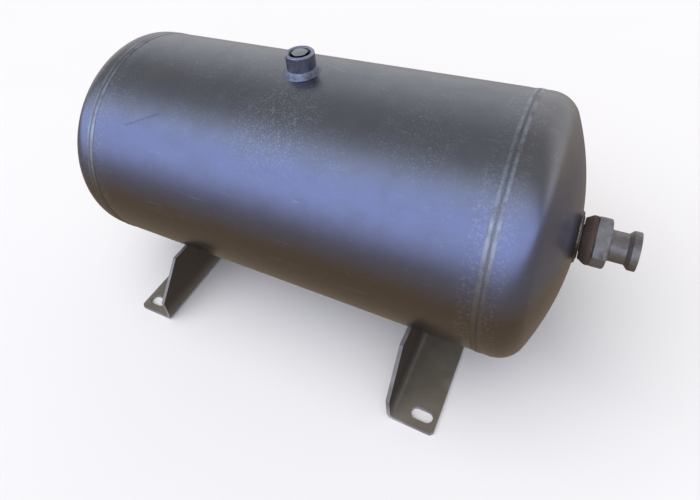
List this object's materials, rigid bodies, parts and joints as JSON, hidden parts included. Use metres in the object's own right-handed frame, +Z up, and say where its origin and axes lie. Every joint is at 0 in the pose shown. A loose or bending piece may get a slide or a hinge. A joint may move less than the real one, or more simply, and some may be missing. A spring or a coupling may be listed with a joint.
{
  "type": "horizontal pressure tank",
  "caption": "Welded steel air tank lying on bent-plate feet with slotted flanges, with a plugged boss on top and an outlet nozzle on one end.",
  "frame": {"origin": "on the ground under the tank's axis, midway between the two feet", "axes": "+X along the tank towards its outlet nozzle, +Y across the tank, +Z up"},
  "size_m": [0.5883, 0.304, 0.3055],
  "materials": {
    "shell_steel": "dark blue-grey satin steel sheet with fine scuffs and scratches",
    "head_steel": "blue-grey satin pressed steel, warmer towards the outlet",
    "weld_bead": "rippled grey weld metal with a dark edge",
    "bare_plate": "bare brown-grey mill-scale plate with bright cut edges",
    "machined_steel": "machined grey steel with brown heat tint"
  },
  "bodies": {
    "root": {"shell": "shell_steel", "left_head": "head_steel", "right_head": "head_steel", "left_girth_weld": "weld_bead", "right_girth_weld": "weld_bead", "lengthwise_seam_weld": "weld_bead", "top_boss": "machined_steel", "top_boss_weld": "weld_bead", "top_plug": "machined_steel", "end_boss": "machined_steel", "end_boss_weld": "weld_bead", "outlet_adapter": "machined_steel", "outlet_nozzle": "machined_steel", "left_foot": "bare_plate", "right_foot": "bare_plate", "left_foot_inner_weld": "weld_bead", "left_foot_outer_weld": "weld_bead", "right_foot_inner_weld": "weld_bead", "right_foot_outer_weld": "weld_bead"}
  },
  "joints": []
}
